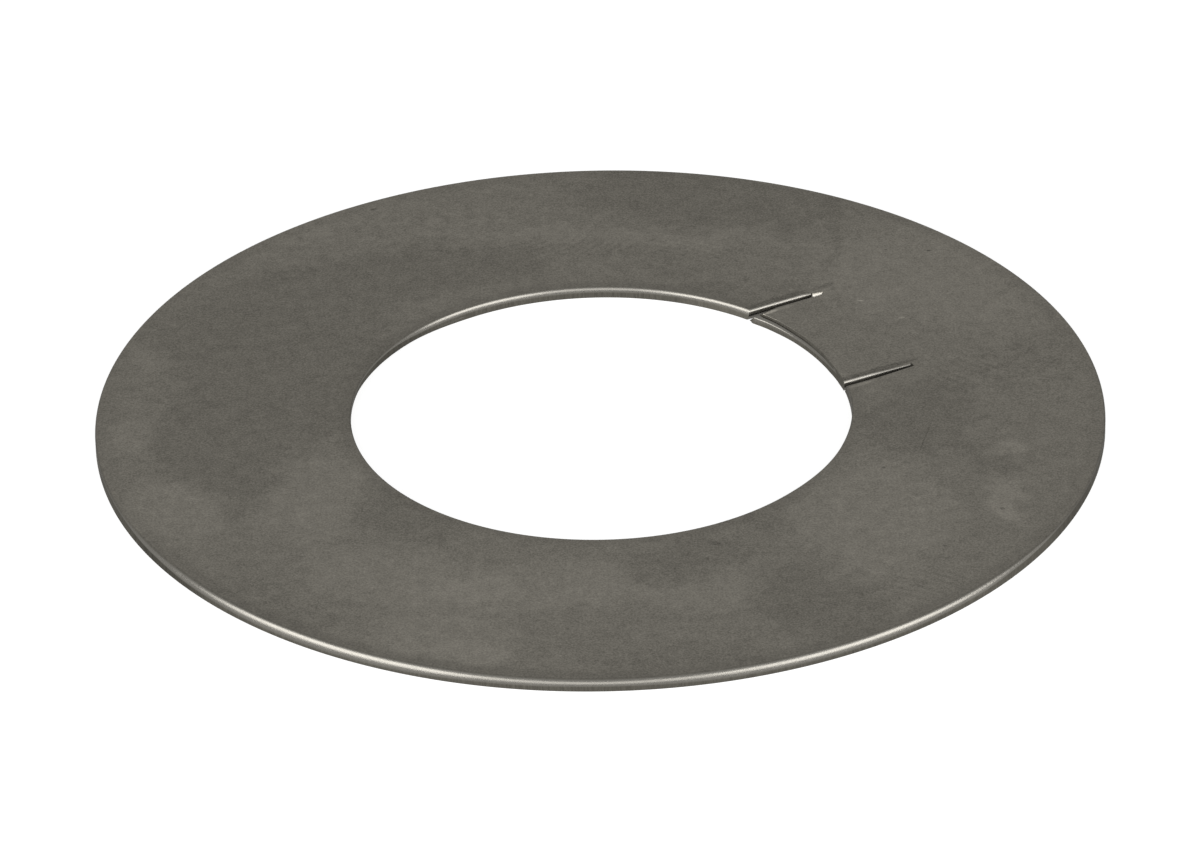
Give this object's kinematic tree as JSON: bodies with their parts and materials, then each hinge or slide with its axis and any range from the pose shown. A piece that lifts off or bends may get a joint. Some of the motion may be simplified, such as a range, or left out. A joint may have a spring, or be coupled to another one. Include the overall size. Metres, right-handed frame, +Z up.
{
  "type": "tab lock washer",
  "caption": "Thin flat steel washer with an inner lock tab, cut free on both sides by slits that run in from the bore.",
  "frame": {"origin": "centre of the bore, on the underside that the washer lies on", "axes": "+Z up through the bore, towards the face whose edges are rolled; the lock tab points 28.2 degrees from +X towards +Y"},
  "size_m": [0.05, 0.05, 0.0006],
  "materials": {
    "steel": "dull satin, with smudges"
  },
  "bodies": {
    "root": {"washer": "steel"}
  },
  "joints": []
}
